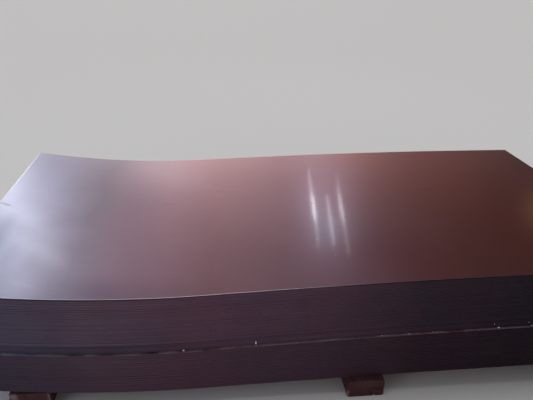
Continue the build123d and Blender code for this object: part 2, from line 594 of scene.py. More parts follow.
# %% Patches: where the noise is above an edge that falls as the cover grows
patches, given, result = new_group(
    "patches", {"Size": 0.05, "Cover": 0.3, "Softness": 0.05}, "Mask"
)
per_metre = sum_of(patches, "DIVIDE", 1.0, given.outputs["Size"])
noise = noise_at(patches, given.outputs["Place"], per_metre, 5.0, 0.65)
edge = sum_of(patches, "MULTIPLY_ADD", given.outputs["Cover"], -0.44, 0.72)
above = sum_of(patches, "SUBTRACT", noise, edge)
share = sum_of(patches, "DIVIDE", above, given.outputs["Softness"])
fill(patches, result, {"Mask": sum_of(patches, "ADD", share, 0.5, clamp=True)})
print("node groups:", [group.name for group in bpy.data.node_groups])

# %% [markdown]
# ## Rolled steel with an oil film
#
# The faces of the sheets are bare rolled steel under a film of oil. The film is thin at the curled
# end, and its bluish silver there is a painted reflection of a cool sheen. Towards the right-hand
# end it is a brown that darkens, partly the dried film and partly painted shade. Bare steel would
# need only a metal with a blurred reflection, but the film adds a second, sharper reflection on
# top, which is why the slim lamps show as crisp streaks inside a soft glow. A coat does that.
#
# The film's colour follows the length of the sheet and clouds break it up. Large soft ovals
# multiply its colour: the ones that lighten it at the curled end are painted sheen, and the others
# darken or redden it. The mill's rolls leave very fine lines that run lengthways. Small scuffs and
# spots, dust on the ledge, painted lighter at the ledge's front edge as a glint, and a thin bright
# line round the top sheet, a painted glint, are laid over all this. Where there is dust or a
# scuff, the surface is no longer metal, and it has no film.

# %% Helpers for materials
def new_material(name):
    """A material with its Principled BSDF, and the place on the piece as a vector."""
    material = bpy.data.materials.new(name)
    material.use_nodes = True
    tree = material.node_tree
    place = add(tree, "ShaderNodeTexCoord").outputs["Object"]
    return material, tree, tree.nodes["Principled BSDF"], place


def use(tree, group, place, **values):
    """A node group in a material, with its own values. Underscores stand for spaces."""
    made = add(tree, "ShaderNodeGroup", node_tree=group)
    into = {label.replace("_", " "): value for label, value in values.items()}
    fill(tree, made, {"Place": place, **into})
    return made.outputs[0]


def between(tree, place, axis, start, end, low=0.0, high=1.0):
    """A number that goes from low to high as the place goes from start to end along an axis."""
    at = add(tree, "ShaderNodeSeparateXYZ", {0: place}).outputs[axis]
    return add(tree, "ShaderNodeMapRange", {0: at, 1: start, 2: end, 3: low, 4: high}).outputs[0]


def value_of(tree, label):
    """A number that the mesh carries at each point."""
    return add(tree, "ShaderNodeAttribute", attribute_name=label).outputs["Fac"]


def bump(tree, height, strength, distance):
    """A normal that is tilted as if the surface rose by height times distance, in metres."""
    into = {"Height": height, "Strength": strength, "Distance": distance}
    return add(tree, "ShaderNodeBump", into).outputs[0]


def scuff(tree, place, centre, reach, turn):
    """A soft oval mark: one minus the distance from its centre, in units of its reach."""
    moved = add(
        tree,
        "ShaderNodeMapping",
        {"Vector": place, "Location": centre, "Rotation": (0, 0, turn), "Scale": reach},
        vector_type="TEXTURE",
    )
    far = add(tree, "ShaderNodeVectorMath", {0: moved.outputs[0]}, operation="LENGTH")
    return sum_of(tree, "SUBTRACT", 1.0, far.outputs["Value"], clamp=True)


print("material helpers ready")

# %% Colours and marks of the rolled faces
# Partly the film's own colour and partly painted light: the bluish silver at the curled end is
# painted sheen, and the darkening towards the level end is painted shade.
FILM_AND_SHEEN = (  # from 0 at the curled end to 1 at the level end
    (0.00, (0.400, 0.445, 0.580)),
    (0.04, (0.350, 0.380, 0.535)),
    (0.07, (0.337, 0.350, 0.488)),
    (0.11, (0.275, 0.267, 0.367)),
    (0.15, (0.227, 0.200, 0.272)),
    (0.20, (0.284, 0.200, 0.267)),
    (0.27, (0.327, 0.198, 0.255)),
    (0.34, (0.284, 0.155, 0.193)),
    (0.48, (0.266, 0.158, 0.197)),
    (0.58, (0.290, 0.188, 0.226)),
    (0.68, (0.318, 0.167, 0.166)),
    (0.82, (0.237, 0.103, 0.099)),
    (1.00, (0.092, 0.042, 0.039)),
)
# Painted sheen and shade in the film: the ovals that lighten it near the curled end stand for its
# sheen, and the others darken or redden it.
FILM_AND_SHEEN_MARKS = (  # centre and reach in metres, and what multiplies the film's colour there
    ((-0.70, -0.66), (0.30, 0.26), (0.46, 0.48, 0.58)),
    ((-0.80, -0.57), (0.16, 0.13), (0.80, 0.82, 0.85)),
    ((-0.48, -0.60), (0.24, 0.14), (0.82, 0.82, 0.85)),
    ((0.27, -0.50), (0.45, 0.40), (1.00, 0.62, 0.66)),
    ((-0.95, -0.20), (0.18, 0.16), (1.22, 1.22, 1.22)),
    ((-1.00, -0.56), (0.10, 0.22), (1.45, 1.45, 1.45)),
    ((-1.05, -0.40), (0.06, 0.16), (1.25, 1.25, 1.25)),
    ((-1.175, -0.31), (0.07, 0.36), (0.35, 0.37, 0.42)),
)
# Bright steel mixed into the top sheet's edge: a painted glint.
BRIGHT_STEEL_GLINT = (0.56, 0.53, 0.58)
DUST_AND_GLINT = (0.29, 0.24, 0.26)

LEDGE_FRONT = -SHEET_WIDTH / 2 - 0.006
LEDGE_BACK = -SHEET_WIDTH / 2 + 0.004
LEFT_END = -SHEET_LENGTH / 2
RIGHT_END = SHEET_LENGTH / 2
PALE = (0.60, 0.58, 0.61)
DULL = (0.05, 0.03, 0.04)
ORANGE = (0.50, 0.14, 0.08)
SCUFFS = (  # centre and reach in metres, turn in degrees, amount, colour
    ((-1.222, 0.010), (0.036, 0.010), -20.0, 0.9, PALE),
    ((-1.000, -0.547), (0.070, 0.012), -22.0, 0.15, PALE),
    ((0.001, -0.308), (0.006, 0.006), 0.0, 0.45, PALE),
    ((0.044, -0.433), (0.006, 0.006), 0.0, 0.45, PALE),
    ((0.382, 0.138), (0.007, 0.007), 0.0, 0.8, ORANGE),
    ((0.042, 0.012), (0.008, 0.008), 0.0, 1.0, DULL),
)
print(len(FILM_AND_SHEEN_MARKS), "large ovals in the film,", len(SCUFFS), "small marks")

# %% Rolled steel: its colour
rolled_steel, tree, shader, place = new_material("rolled_steel_oiled")
film_place = between(tree, place, "X", LEFT_END, RIGHT_END)
big_clouds = use(tree, clouds, place, Size=0.45, Contrast=1.2)
small_clouds = use(tree, clouds, place, Size=0.06, Contrast=1.0)
roll_lines = use(tree, lines, place, Along_X=0.25, Along_Y=0.0025, Along_Z=0.05, Contrast=1.4)
drift = sum_of(tree, "MULTIPLY_ADD", big_clouds, 0.06, -0.03)
# The film's colour along x, with its painted sheen and painted shade.
film_and_sheen = ramp(tree, sum_of(tree, "ADD", film_place, drift, clamp=True), FILM_AND_SHEEN)
for centre, reach, colour in FILM_AND_SHEEN_MARKS:
    oval = scuff(tree, place, (*centre, 0.0), (*reach, 1.0), 0.0)
    soft = add(tree, "ShaderNodeMapRange", {0: oval}, interpolation_type="SMOOTHSTEP").outputs[0]
    film_and_sheen = blend(tree, soft, film_and_sheen, colour, how="MULTIPLY")
shade = sum_of(tree, "MULTIPLY_ADD", small_clouds, 0.10, 0.90)
shade = sum_of(tree, "MULTIPLY_ADD", roll_lines, 0.06, shade)
# Painted highlight: bright steel mixed in where the top sheet's edge glints.
rim = sum_of(tree, "MULTIPLY", value_of(tree, "rim"), 0.45)
coloured = blend(tree, rim, times(tree, film_and_sheen, shade), BRIGHT_STEEL_GLINT)
print("the steel's colour:", len(tree.nodes), "nodes")

# %% Rolled steel: its dust, scuffs and shine
dusty = use(tree, patches, place, Size=0.10, Cover=0.62, Softness=0.30)
dusty = sum_of(tree, "MULTIPLY", dusty, value_of(tree, "dust_and_glint"))
# Dust, painted lighter towards the ledge's front edge, where it also stands for the edge's glint:
# a painted highlight.
dust_and_glint_to_front = between(tree, place, "Y", LEDGE_BACK, LEDGE_FRONT, 0.7, 1.0)
dusty = sum_of(tree, "MULTIPLY", dusty, dust_and_glint_to_front)
coloured = blend(tree, dusty, coloured, DUST_AND_GLINT)
broken = use(tree, clouds, place, Size=0.004, Contrast=2.5)
for centre, reach, turn, amount, colour in SCUFFS:
    oval = scuff(tree, place, (*centre, 0.0), (*reach, 1.0), math.radians(turn))
    worn = sum_of(tree, "MULTIPLY", sum_of(tree, "MULTIPLY", oval, 3.0, clamp=True), amount)
    worn = sum_of(tree, "MULTIPLY", worn, broken)
    coloured = blend(tree, worn, coloured, colour)
    dusty = sum_of(tree, "MAXIMUM", dusty, worn)

rough = sum_of(tree, "MULTIPLY_ADD", big_clouds, 0.05, 0.25)
rough = sum_of(tree, "MULTIPLY_ADD", roll_lines, 0.03, rough)
rough = sum_of(tree, "MULTIPLY_ADD", dusty, 0.5, rough)
coat = sum_of(tree, "MULTIPLY_ADD", small_clouds, 0.15, 0.66)
coat = sum_of(tree, "MULTIPLY_ADD", film_place, -0.30, coat)
fill(tree, shader, {
    "Base Color": coloured,
    "Metallic": sum_of(tree, "SUBTRACT", 1.0, dusty),
    "Roughness": rough,
    "Coat Weight": sum_of(tree, "SUBTRACT", coat, dusty, clamp=True),
    "Coat Roughness": 0.08,
    "Coat IOR": 1.5,
    "Specular Tint": (0.85, 0.66, 0.68),
    "Normal": bump(tree, roll_lines, 0.10, 0.00003),
})
print("rolled steel:", len(tree.nodes), "nodes")

# %% [markdown]
# ## Sheared edges
#
# The shears leave a narrow bright land at the top of each edge and a torn, dull break below it.
# From a few steps away the edges of a pack run together into a dark side with faint lines, each a
# sheet that is a little lighter or darker than its neighbours. The side's steel colour is darkened
# by painted shade, and darker still towards the level end.
# The mesh carries such numbers from point to point, and the material reads them: `tone` multiplies
# the colour, with a random tone and with painted shade and light, `warmth` draws it from a cool
# tinge to a warm one, and `rim` mixes in bright steel as a painted glint. A hundred materials
# could do it too, but one that reads numbers is easier to change. A cloud also changes the tinge,
# and rust lies over it in a few patches.

# %% Sheared edges
# Painted shade: the side's steel is darkened, and the ramp below darkens it most towards the level
# end.
EDGE_STEEL_AND_SHADE = (0.115, 0.072, 0.112)
EDGE_TINT_AND_SHADE = (  # what multiplies it, from 0 at the curled end to 1 at the level end
    (0.00, (0.61, 0.88, 0.95)),
    (0.10, (0.70, 0.91, 0.94)),
    (0.18, (0.90, 0.98, 0.94)),
    (0.32, (0.91, 0.78, 0.79)),
    (0.48, (0.74, 0.62, 0.62)),
    (0.62, (0.33, 0.29, 0.30)),
    (0.78, (0.16, 0.145, 0.17)),
    (1.00, (0.32, 0.30, 0.34)),
)
RUST = (0.130, 0.045, 0.050)
COOL_TINGE = (0.90, 1.04, 1.06)
WARM_TINGE = (1.10, 0.96, 0.95)

sheared_edge, tree, shader, place = new_material("sheared_edges")
edge_place = between(tree, place, "X", LEFT_END, RIGHT_END)
edge_colour = times(tree, EDGE_STEEL_AND_SHADE, ramp(tree, edge_place, EDGE_TINT_AND_SHADE))
edge_lines = use(tree, lines, place, Along_X=0.5, Along_Y=0.5, Along_Z=0.016, Contrast=1.4)
edge_clouds = use(tree, clouds, place, Size=0.12, Contrast=1.2)
shade = sum_of(tree, "MULTIPLY_ADD", edge_lines, 0.10, 0.83)
shade = sum_of(tree, "MULTIPLY_ADD", edge_clouds, 0.24, shade)
# Per-sheet tone, which also carries painted shade and painted light.
shade = sum_of(tree, "MULTIPLY", shade, value_of(tree, "tone"))
edge_colour = times(tree, edge_colour, shade)
rusty = use(tree, patches, place, Size=0.09, Cover=0.25, Softness=0.15)
less_rust = sum_of(tree, "MULTIPLY_ADD", edge_place, -0.15, 0.20)
rusty = sum_of(tree, "MULTIPLY", rusty, less_rust)
edge_colour = blend(tree, rusty, edge_colour, RUST)
hue = use(tree, clouds, place, Size=0.30, Contrast=2.2)
hue = sum_of(tree, "ADD", hue, value_of(tree, "warmth"), clamp=True)
edge_colour = times(tree, edge_colour, blend(tree, hue, COOL_TINGE, WARM_TINGE))
# The same painted glint, on the top sheet's edge faces.
edge_rim = sum_of(tree, "MULTIPLY", value_of(tree, "rim"), 0.35)
fill(tree, shader, {
    "Base Color": blend(tree, edge_rim, edge_colour, BRIGHT_STEEL_GLINT),
    "Metallic": 0.3,
    "Specular IOR Level": 0.12,
    "Roughness": sum_of(tree, "MULTIPLY_ADD", edge_lines, -0.15, 0.62),
    "Normal": bump(tree, edge_lines, 0.2, 0.0003),
})
print("sheared edges:", len(tree.nodes), "nodes")

# %% [markdown]
# ## The sheets
#
# An Array modifier could repeat one sheet, but in the lower pack every sheet has its own
# curve, so one function makes any number of them. It takes the section of a sheet as two short
# lists, how far in from the edge and how high, and carries it along the curve of each sheet.
# Only the edges show, so the section has six points on each long edge and none between: the
# shear has rolled the top corner over a little and left a small burr under the bottom one,
# which nearly closes the gap to the next sheet.

# %% Section of a sheet
EDGE_IN = np.array([0.09, 0.03, 0.0, 0.0, 0.03, 0.2]) / 1000  # in from the edge, top to bottom
EDGE_UP = np.array([1.5, 1.48, 1.42, -1.55, -1.77, -1.5]) / 1000  # above the sheet's middle
END_AT = np.array([0.0, 0.03, 0.09]) / 1000  # the same corner, met by the ends of the sheet
END_TOP = np.array([1.42, 1.48, 1.5]) / 1000
END_LOW = np.array([-1.55, -1.77, -1.77]) / 1000
ROLLED_COLUMNS = [5, 11]  # the section's sides that are the sheet's two faces

front_edge = EDGE_IN - SHEET_WIDTH / 2
section_across = np.concatenate([front_edge, -front_edge[::-1]])
section_up = np.concatenate([EDGE_UP, EDGE_UP[::-1]])
print("section of", len(section_up), "points")

# %% Points of any number of sheets
UNMOVED = np.zeros(1)


def stations_along(first, count):
    """Distances along a sheet: the blunted corner's places, then even steps from first on."""
    corner = END_AT[END_AT < first]
    even = np.linspace(first, SHEET_LENGTH - first, count)
    return np.concatenate([corner, even, SHEET_LENGTH - corner[::-1]])


def lay_sheets(pick, along, across, up, lifts=0.0, slide=UNMOVED, shift=UNMOVED, turn=UNMOVED):
    """Points (sheet, station, section, 3) of the picked sheets, laid along their curves.

    The section's points across and up are carried to each distance along the curve. The ends
    are blunted by holding up between two limits. Each sheet slides along its own curve,
    shifts backwards, and turns by a small angle a: x becomes x - a y, and y becomes y + a x.
    """
    step = np.minimum(along, along[::-1])
    top_limit = np.interp(step, END_AT, END_TOP)[:, None]
    low_limit = np.interp(step, END_AT, END_LOW)[:, None]
    side = np.clip(up[None, :], low_limit, top_limit) + lifts
    s = along[None, :, None] + slide[:, None, None]
    x, z = along_curve(s, flatness[pick, None, None], trough_z[pick, None, None], side[None])
    y = np.broadcast_to(across + shift[:, None, None], x.shape)
    a = turn[:, None, None]
    return np.stack([x - a * y, y + a * x, z], axis=-1)


print("stations of a short sheet:", stations_along(END_AT[-1], 2).round(5).tolist())

# %% One function for all the pieces of sheet
POINT_VALUES = ("tone", "dust_and_glint", "rim", "warmth")


def sheet_materials(count, rings, around, face_columns):
    """Material number of each face: 0 for the rolled faces, 1 for the sheared edges."""
    column = np.ones(around, int)
    column[face_columns] = 0
    row = np.zeros(rings - 1, int)
    row[:2] = 1
    row[-2:] = 1
    one = np.maximum(column[None, :], row[:, None])
    return np.concatenate([np.tile(one.ravel(), count), np.ones(2 * count, int)])


def sheet_piece(name, node, points, face_columns, **values):
    """The piece that stands for a node of sheets. A value that isn't given is zero."""
    shape = points.shape[:3]
    made = new_piece(
        name,
        points.reshape(-1, 3),
        [tube_faces(*shape), cap_faces(*shape)],
        [rolled_steel, sheared_edge],
        sheet_materials(*shape, face_columns),
        {label: np.broadcast_to(values.get(label, 0.0), shape) for label in POINT_VALUES},
    )
    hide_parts(node)
    low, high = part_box(node)
    off = np.abs([points.min((0, 1, 2)) - low, points.max((0, 1, 2)) - high]).max()
    print(name, "sheets:", shape[0], "triangles:", triangles(made))
    print("   its box is off the model's by up to", round(off * 1000, 2), "mm")


print("each point of a sheet carries", ", ".join(POINT_VALUES))

# %% [markdown]
# ## Three packs
#
# The sheets of a pack come from the same bundle, so they lie nearly flush, each a hair out of line
# with the next. They were cut in batches, and a batch's edges have the same tone. The lower pack
# stands a little proud and carries the dust, which is also a painted glint along the ledge, and
# the middle one lies a little behind and slightly turned. The same numbers carry painted shade and
# light. The middle pack is painted darker, as in the shade under the pack above, and its lower
# sheets are painted lighter than its upper ones. The upper pack's side is painted lighter towards
# its top, and painted shadow lines lie under the top sheet's edge and under the ledge.

# %% Tones of the packs
LEVELS_AT = (-1.1, -0.75, -0.4, 0.0, 1.25)  # where along x a pack's tone is given
LOWER_LEVELS = (0.62, 0.80, 0.80, 0.82, 1.05)
# Painted shade: the middle pack is darker, as in the shade under the pack above.
MIDDLE_SHADE_LEVELS = (0.60, 0.52, 0.62, 0.76, 0.80)
UPPER_LEVELS = (1.0, 1.0, 1.0, 1.0, 1.0)
BATCH_CHANCE = 0.3  # that a new batch starts with a sheet
BATCH_UNEVEN = 0.08
SHEET_UNEVEN = 0.03
FADED = 0.35  # how much of the unevenness is left at the level end

# Each row below has places along x, and then what a number is there.
# Dust along the ledge, which also stands for a glint along its front edge: a painted highlight.
LEDGE_DUST_AND_GLINT = ((-1.0, -0.8, 0.6, 0.8), (0.5, 1.0, 1.0, 0.8))
LOWER_WARMTH = ((-0.8, -0.3), (0.8, 0.2))
LIGHT_PAIR = ((-1.2, -0.4), (1.35, 1.1))  # what multiplies the upper pack's two lowest sheets
# Painted shadow: the upper pack's highest sheet and the top sheet's own edge are dark, as a shadow
# line under the top sheet's edge.
LAST_UPPER_SHADOW = ((-1.1, -0.95, -0.75, -0.5, -0.1), (0.3, 0.5, 0.5, 0.7, 0.85))  # and its highest
TOP_EDGE_SHADOW = ((-1.1, -0.95, -0.75, -0.5, -0.1), (0.08, 0.10, 0.12, 0.18, 0.25))
# Painted shadow: the sheet just under the ledge is darker.
UNDER_LEDGE_SHADOW = 0.85  # what multiplies the sheet under the ledge
print("the lower pack's tone goes from", LOWER_LEVELS[0], "to", LOWER_LEVELS[-1])

# %% One function for a pack
PACK_STATIONS = 52
FRONT_SCATTER = SCATTER / 6  # the front side is much more even than the ends
SHEET_TURN = 0.0003
rng = np.random.default_rng(41)


def pack(node, first_sheet, count, slide, forward, skew, levels, painted_light_gain):
    """The sheets of a pack, each a little out of line with the next.

    Sheet n slides by the pack's slide plus the scatter times cos(2.4 n). It shifts by the front's
    scatter times sin(2.4 n), less the pack's forward. It turns by the pack's skew and a small
    random angle. Its tone is the pack's level along x times one plus a batch's and its own random
    part, which fade towards the level end, times a factor of painted light from the lowest sheet
    to the highest. The middle pack's levels are painted shade.
    """
    number = np.arange(count)
    points = lay_sheets(
        slice(first_sheet, first_sheet + count),
        stations_along(END_AT[-1], PACK_STATIONS),
        section_across,
        section_up,
        slide=slide + SCATTER * np.cos(SCATTER_STEP * number),
        shift=-forward + FRONT_SCATTER * np.sin(SCATTER_STEP * number),
        turn=skew + rng.uniform(-SHEET_TURN, SHEET_TURN, count),
    )
    x = points[..., 0]
    batches = np.cumsum(rng.random(count) < BATCH_CHANCE)
    uneven = BATCH_UNEVEN * rng.random(count)[batches % count]
    uneven += SHEET_UNEVEN * rng.random(count) - (BATCH_UNEVEN + SHEET_UNEVEN) / 2
    fading = np.interp(x, [LEFT_END, RIGHT_END], [1.0, FADED])
    tone = np.interp(x, LEVELS_AT, levels) * (1 + uneven[:, None, None] * fading)
    # Painted light and shade from the lowest sheet to the highest.
    tone *= np.linspace(*painted_light_gain, count)[:, None, None]
    values = {"tone": tone}
    if node == "lower_pack":
        # Painted shadow under the ledge.
        tone[-2] *= UNDER_LEDGE_SHADOW
        values["dust_and_glint"] = np.zeros(x.shape)
        values["dust_and_glint"][-1] = np.interp(x[-1], *LEDGE_DUST_AND_GLINT)
        values["warmth"] = np.interp(x, *LOWER_WARMTH)
    if node == "upper_pack":
        tone[:2] *= np.interp(x[:2], *LIGHT_PAIR)
        # Painted shadow under the top sheet's edge.
        tone[-1] *= np.interp(x[-1], *LAST_UPPER_SHADOW)
    sheet_piece(f"{node}_sheets", node, points, ROLLED_COLUMNS, **values)


print("stations of a pack's sheet:", len(stations_along(END_AT[-1], PACK_STATIONS)))

# %% Lay the packs
# The last column is painted light and shade: it makes the middle pack's lower sheets and the upper
# pack's upper sheets lighter.
PACKS = (  # node, first sheet, count, slide and forward in metres, skew in radians, levels, gain
    ("lower_pack", 0, LOWER_COUNT, 0.005, 0.006, 0.0, LOWER_LEVELS, (1.0, 1.0)),
    ("middle_pack", middle_from, MIDDLE_COUNT, -0.004, -0.006, -0.0025, MIDDLE_SHADE_LEVELS, (2.0, 1.0)),
    ("upper_pack", upper_from, UPPER_COUNT, 0.0, 0.0, 0.0, UPPER_LEVELS, (0.94, 1.07)),
)
for row in PACKS:
    pack(*row)

# %% [markdown]
# ## The top sheet
#
# The top sheet is the one that everybody sees, so its face is a fine grid. A rolled sheet is never
# quite flat: it has long, shallow waves of a few tenths of a millimetre, which show only in what
# it mirrors. The waves here are a sum of three sines, and they lift the sheet and never press it
# into the one below. The shears have also polished a narrow edge round it, and the thin bright
# line along the front is a painted highlight: bright steel mixed in as a glint, brightest at the
# curled end. The sheet's own sheared edge is painted dark, as a shadow line under it.

# %% Top sheet
TOP_STATIONS = 220
TOP_COLUMNS = 90
RIM_WIDTH = 0.0030
WAVE = 0.00022
# How bright the painted glint on the top sheet's edge is along x.
POLISHED_GLINT = ((-1.0, -0.78, -0.55, -0.1, 0.15), (1.0, 0.6, 1.0, 1.0, 0.1))  # along x, as above


def shallow_waves(along, across):
    """Lift of the sheet: the mean of three sines, moved so that it is never below zero."""
    s, y = along[:, None], across[None, :]
    waves = (
        np.sin(7.1 * s + 3.9 * y)
        + np.sin(4.3 * s - 8.7 * y + 1.3)
        + np.sin(12.4 * s + 6.1 * y + 4.0)
    )
    return WAVE * (1 + waves / 3)


inside = SHEET_WIDTH / 2 - RIM_WIDTH
across = np.concatenate([section_across, np.linspace(inside, -inside, TOP_COLUMNS)])
up = np.concatenate([section_up, np.full(TOP_COLUMNS, THICK / 2)])
along = stations_along(RIM_WIDTH, TOP_STATIONS)
points = lay_sheets(slice(-1, None), along, across, up, shallow_waves(along, across))
near_end = np.minimum(along, along[::-1])[:, None] < RIM_WIDTH / 2
near_side = SHEET_WIDTH / 2 - np.abs(across)[None, :] < RIM_WIDTH / 2
on_rim = (near_end | near_side) & (up[None, :] > 0)
x = points[..., 0]
sheet_piece(
    "top_sheet_plate",
    "top_sheet",
    points,
    [ROLLED_COLUMNS[0], *range(ROLLED_COLUMNS[1], len(up))],
    tone=np.interp(x, *TOP_EDGE_SHADOW),
    rim=on_rim * np.interp(x, *POLISHED_GLINT),
)
print("its waves lift it by up to", WAVE * 2000, "mm")

# %% [markdown]
# ## Timber bearers
#
# The bearers are rough sawn timber, grey and brown with age, with rounded corners, cracks in the
# end grain and the marks of the saw across their sides. One of them has split at the front, and
# fresh, paler wood shows there. Pale strips on an arris of the left and of the middle bearer are
# painted glints.
#
# The shape is again one closed grid: it starts at the heart of one end, spreads over that end,
# runs along the sides and closes at the heart of the other end. Every unevenness goes inwards,
# so the timber never reaches past its measured size.

# %% Outline and unevenness of a timber
TIMBER_AROUND = 168
END_RINGS = 16
SIDE_RINGS = 84
CORNER = 0.007
END_EDGE = 0.002  # the first and the last ring of the sides lie this far from the ends
SAW_RIDGE = 0.00025
SAW_PITCH = 0.011
SLOW_WAVE = 0.0016
CORNER_WEAR = 0.0045
END_ROUGHNESS = 0.0012
CRACKS = 5


def rounded_outline(width, height):
    """Outline of the end, seen from the front, and its outward directions.

    Points go round the plain rectangle in even steps. Each is then drawn towards the nearest
    point of a rectangle that is smaller by the corner radius, until it is that radius away.
    """
    half = np.array([width / 2, height / 2])
    t = np.arange(TIMBER_AROUND) / TIMBER_AROUND * 2 * (width + height)
    go = np.array([0.0, width, width + height, 2 * width + height, 2 * (width + height)])
    x = np.interp(t, go, [-half[0], half[0], half[0], -half[0], -half[0]])
    z = np.interp(t, go, [-half[1], -half[1], half[1], half[1], -half[1]])
    plain = np.stack([x, z], axis=-1)
    core = np.clip(plain, -(half - CORNER), half - CORNER)
    outward = plain - core
    outward /= np.linalg.norm(outward, axis=1, keepdims=True)
    return core + CORNER * outward, outward


def ripple(rng, terms, *coordinates):
    """A smooth random field from 0 to 1: the mean of sines with random directions."""
    total = 0.0
    for _ in range(terms):
        wave = sum(rng.normal() * c for c in coordinates)
        total = total + np.sin(wave + rng.uniform(0, 2 * math.pi))
    return 0.5 + 0.5 * total / terms


print("outline of", len(rounded_outline(TIMBER_WIDTH, MIDDLE_TIMBER_HEIGHT)[0]), "points")

# %% Cracks and marks
def crack_depths(rng, turn):
    """Depth of the cracks that run out from the heart, by the direction round it.

    A crack has the shape e to the power of -(angle / width)^2, and its own width and depth.
    """
    crack_at = rng.uniform(-3, 3, CRACKS)
    crack_width = rng.uniform(0.03, 0.07, CRACKS)
    crack_depth = rng.uniform(0.002, 0.007, CRACKS)
    total = 0.0
    for at, wide, depth in zip(crack_at, crack_width, crack_depth):
        away = (turn - at + math.pi) % (2 * math.pi) - math.pi
        total = total + depth * np.exp(-((away / wide) ** 2))
    return total


def cut_marks(end_depth, x, z, on_front, ragged, marks):
    """The end's depth with the marks cut in, and how pale the wood is there.

    A mark has the shape e to the power of minus the sum of the fourth powers of the distances from
    its middle, in units of its reach. It goes in by its own depth times a ragged field, and makes
    the wood pale by its own amount: split wood, and on two arrises a painted glint.
    """
    fresh_and_glint = 0.0 * x
    for mark_x, mark_z, reach_x, reach_z, depth, bare in marks:
        far_off = ((x - mark_x) / reach_x) ** 4 + ((z - mark_z) / reach_z) ** 4
        there = np.exp(-far_off * (0.6 + 0.8 * ragged)) * on_front
        end_depth = end_depth + depth * (0.3 + ragged**2) * there
        fresh_and_glint = np.maximum(fresh_and_glint, bare * there)
    return end_depth, fresh_and_glint


print("cracks in each end:", CRACKS)

# %% One function for all the timbers
def timber(node, seed, marks):
    """A bearer between the corners of its node, as one grid from end to end.

    Over the ends a point lies f of the way from the heart to the outline, with f from 0 to 1.
    Along the sides it lies on the outline. It is then moved inwards by the saw's ridges, a
    sine across the length, by slow waves, by wear of the corners, and on the ends by their
    roughness, the cracks and the marks. The bare numbers that multiply x, y and z are radians
    per metre.
    """
    rng = np.random.default_rng(seed)
    low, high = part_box(node)
    width = high[0] - low[0]
    height = high[2] - low[2]
    outline, outward = rounded_outline(width, height)
    spread = np.linspace(0.0, 1.0, END_RINGS + 1)[1:]
    f = np.concatenate([spread, np.ones(SIDE_RINGS), spread[::-1]])[:, None]
    run = np.linspace(low[1] + END_EDGE, high[1] - END_EDGE, SIDE_RINGS)
    y = np.concatenate([np.full(END_RINGS, low[1]), run, np.full(END_RINGS, high[1])])[:, None]
    on_side = (f >= 1.0).astype(float)
    x = f * outline[None, :, 0]
    z = f * outline[None, :, 1]

    saw = SAW_RIDGE * (0.5 + 0.5 * np.sin(2 * math.pi * y / SAW_PITCH + 9 * x))
    slow = SLOW_WAVE * ripple(rng, 5, 5 * y, 22 * x, 22 * z)
    corner = np.abs(outward[:, 0] * outward[:, 1])[None, :] * 2
    wear = CORNER_WEAR * corner * ripple(rng, 6, 11 * y, 15 * x, 15 * z) ** 2
    flat_face = np.abs(outward[None, :, 1]) > 0.999
    inward = on_side * (saw + slow * np.where(flat_face, 0.35, 1.0) + wear)
    x = x - inward * outward[None, :, 0]
    z = z - inward * outward[None, :, 1]

    turn = np.arctan2(outline[None, :, 1] / height, outline[None, :, 0] / width)
    cracks = crack_depths(rng, turn)
    reach = np.clip(1.6 * f - 0.2, 0, 1) * np.clip(2.4 - 1.6 * f, 0, 1)
    rough = END_ROUGHNESS * ripple(rng, 7, 260 * x, 260 * z)
    end_depth = rough + cracks * reach
    to_end = np.minimum(y - low[1], high[1] - y)
    on_end = (to_end < 1.5 * END_EDGE).astype(float)
    on_front = on_end * (y < 0)
    ragged = ripple(rng, 6, 300 * x, 420 * z)
    end_depth, fresh_and_glint = cut_marks(end_depth, x, z, on_front, ragged, marks)
    y = y - np.sign(y) * end_depth * on_end

    middle = np.array([(low[0] + high[0]) / 2, 0.0, (low[2] + high[2]) / 2])  # y is in place
    rings = np.stack([x, np.broadcast_to(y, x.shape), z], axis=-1) + middle
    hearts = np.stack([rings[0].mean(0), rings[-1].mean(0)])
    points = np.concatenate([rings.reshape(-1, 3), hearts])
    values = {"fresh_and_glint": np.concatenate([fresh_and_glint.ravel(), fresh_and_glint[0].mean(keepdims=True), [0.0]])}
    count = rings.shape[0]
    sides = tube_faces(1, count, TIMBER_AROUND)[:, ::-1]
    front = fan(0, TIMBER_AROUND, len(points) - 2)
    back = fan((count - 1) * TIMBER_AROUND, TIMBER_AROUND, len(points) - 1)[:, [1, 0, 2]]
    return points, [sides, front, back], values, middle


print("timber grid:", 2 * END_RINGS + SIDE_RINGS, "rings of", TIMBER_AROUND)

# %% [markdown]
# ## The wood
#
# Wood is a stack of cones inside one another, so its growth rings are a solid pattern: rings round
# the heart that are stretched along the grain. A solid pattern shows the rings on the end and the
# long grain on the sides without any more work. Each timber was cut from another place in its log,
# so each gets its own heart. Dirt, grey weathering and the fresh split are laid over the grain.
# The browns are darkened further as painted shade from under the stack.

# %% Wood finish
# The wood's own dark, reddish browns, made darker still as painted shade from under the stack.
WOOD_DARK = (0.035, 0.008, 0.011)
WOOD_LIGHT = (0.100, 0.030, 0.036)
WOOD_GREY = (0.085, 0.048, 0.056)
WOOD_FRESH_AND_GLINT = (0.280, 0.180, 0.210)
WOOD_TORN = (0.160, 0.085, 0.105)


